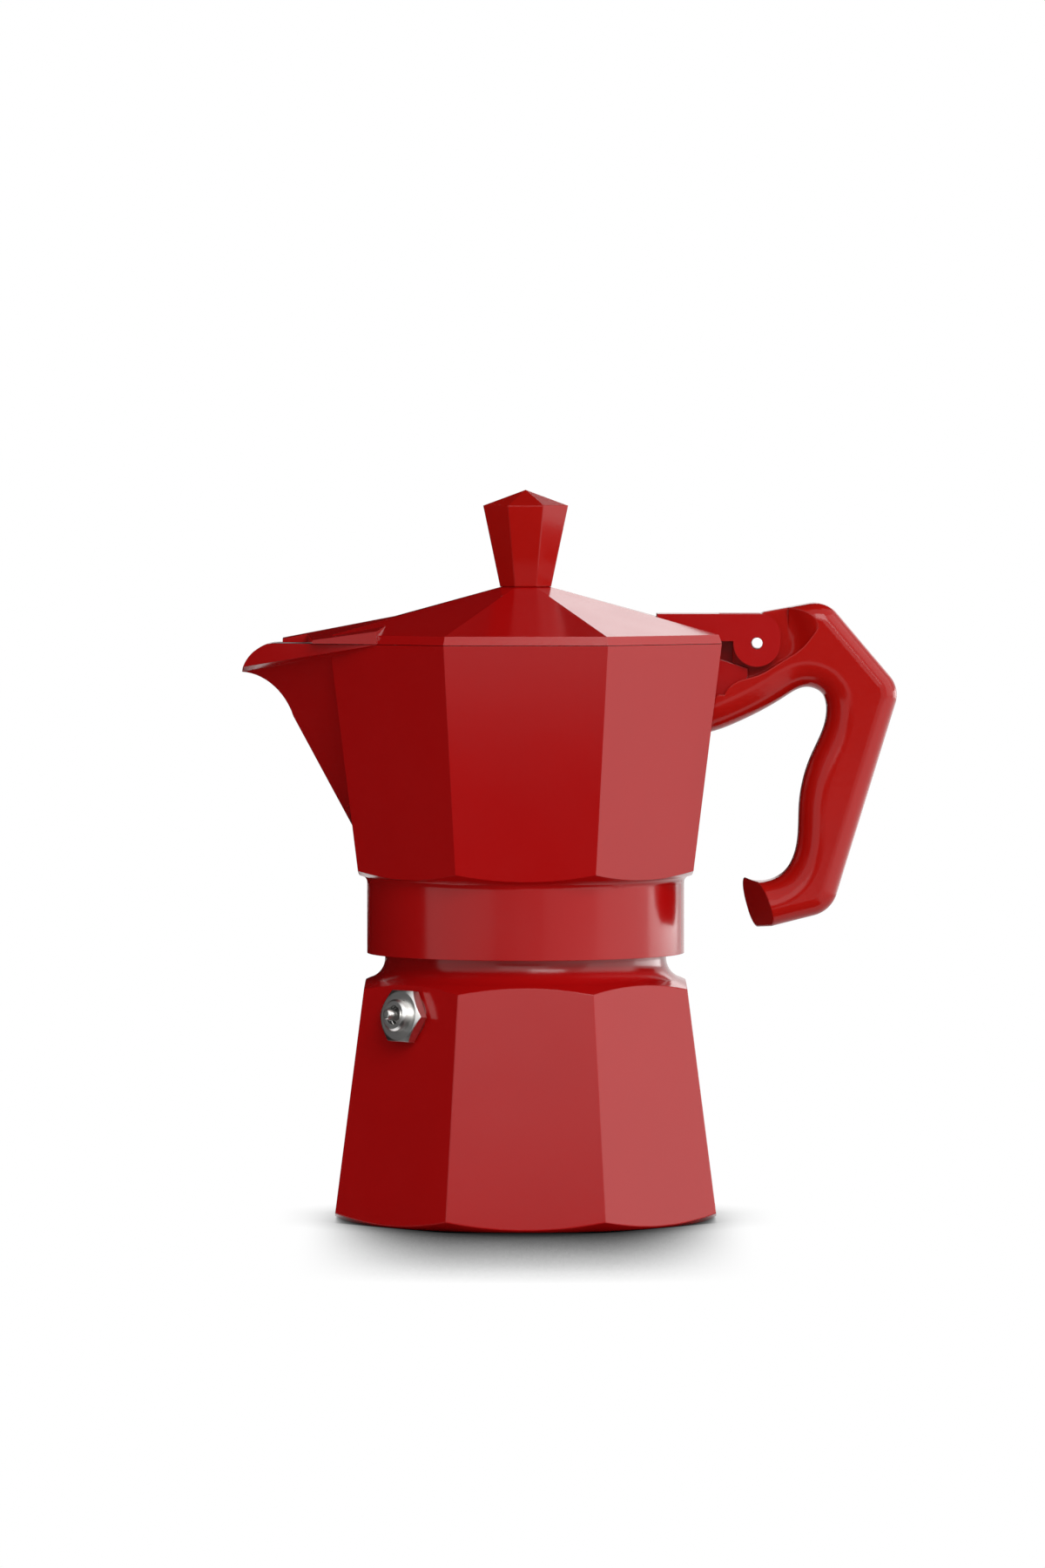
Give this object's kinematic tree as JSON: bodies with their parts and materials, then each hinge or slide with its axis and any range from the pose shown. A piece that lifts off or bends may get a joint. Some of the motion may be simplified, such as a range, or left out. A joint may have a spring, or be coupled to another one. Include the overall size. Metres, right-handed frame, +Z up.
{
  "type": "moka pot",
  "caption": "Octagonal stovetop moka pot with a screw-together boiler and collector, hinged lid, V spout, moulded handle, safety valve, funnel and filter.",
  "frame": {"origin": "centre of the boiler's underside, on the pot's axis, at the level it stands on", "axes": "+Z up along the pot's axis, +X towards the handle, -X towards the spout, -Y towards the pictured front"},
  "size_m": [0.1454, 0.0864, 0.162],
  "materials": {
    "red_enamel": "glossy red enamel on cast aluminium, bare inside",
    "red_plastic": "glossy moulded thermoset",
    "valve_steel": "plated and turned",
    "spring_steel": "drawn wire",
    "washer_steel": "zinc plated",
    "pin_steel": "polished",
    "brass": "turned",
    "bare_aluminium": "spun and satin",
    "soft_seal": "pale silicone rubber"
  },
  "bodies": {
    "boiler_half": {"boiler": "red_enamel", "valve_body": "valve_steel", "valve_washer": "washer_steel", "valve_seat": "brass", "valve_spring": "spring_steel"},
    "valve_stem": {"valve_piston": "valve_steel", "valve_seal": "soft_seal"},
    "filter_set": {"gasket": "soft_seal", "filter_plate": "bare_aluminium"},
    "upper_half": {"upper_chamber": "red_enamel", "column": "bare_aluminium", "handle": "red_plastic", "hinge_pin": "pin_steel"},
    "funnel_set": {"funnel": "bare_aluminium", "funnel_tube": "bare_aluminium", "funnel_screen": "bare_aluminium"},
    "lid_set": {"lid": "red_enamel", "knob": "red_plastic", "knob_insert": "brass", "knob_washer": "washer_steel", "knob_screw": "washer_steel"}
  },
  "joints": [
    {"name": "top_lift", "type": "slide", "parent": "boiler_half", "child": "filter_set", "axis": [0, 0, 1], "range_m": [0, 0.13]},
    {"name": "top_turn", "type": "hinge", "parent": "filter_set", "child": "upper_half", "pos_m": [0, 0, 0.064], "axis": [0, 0, 1], "range_deg": [0, 540]},
    {"name": "funnel_lift", "type": "slide", "parent": "boiler_half", "child": "funnel_set", "axis": [0, 0, 1], "range_m": [0, 0.065]},
    {"name": "lid_open", "type": "hinge", "parent": "upper_half", "child": "lid_set", "pos_m": [0.0512, 0, 0.128], "axis": [0, 1, 0], "range_deg": [0, 90]},
    {"name": "valve_pop", "type": "slide", "parent": "boiler_half", "child": "valve_stem", "axis": [-0.7014, -0.7014, 0.1273], "range_m": [0, 0.0015], "stiffness_N_per_m": 1500, "springref_m": -0.0006, "deforming": ["valve_spring"]}
  ],
  "couplings": [
    {"joint": "funnel_lift", "follows": "top_lift", "ratio": 0.5}
  ]
}
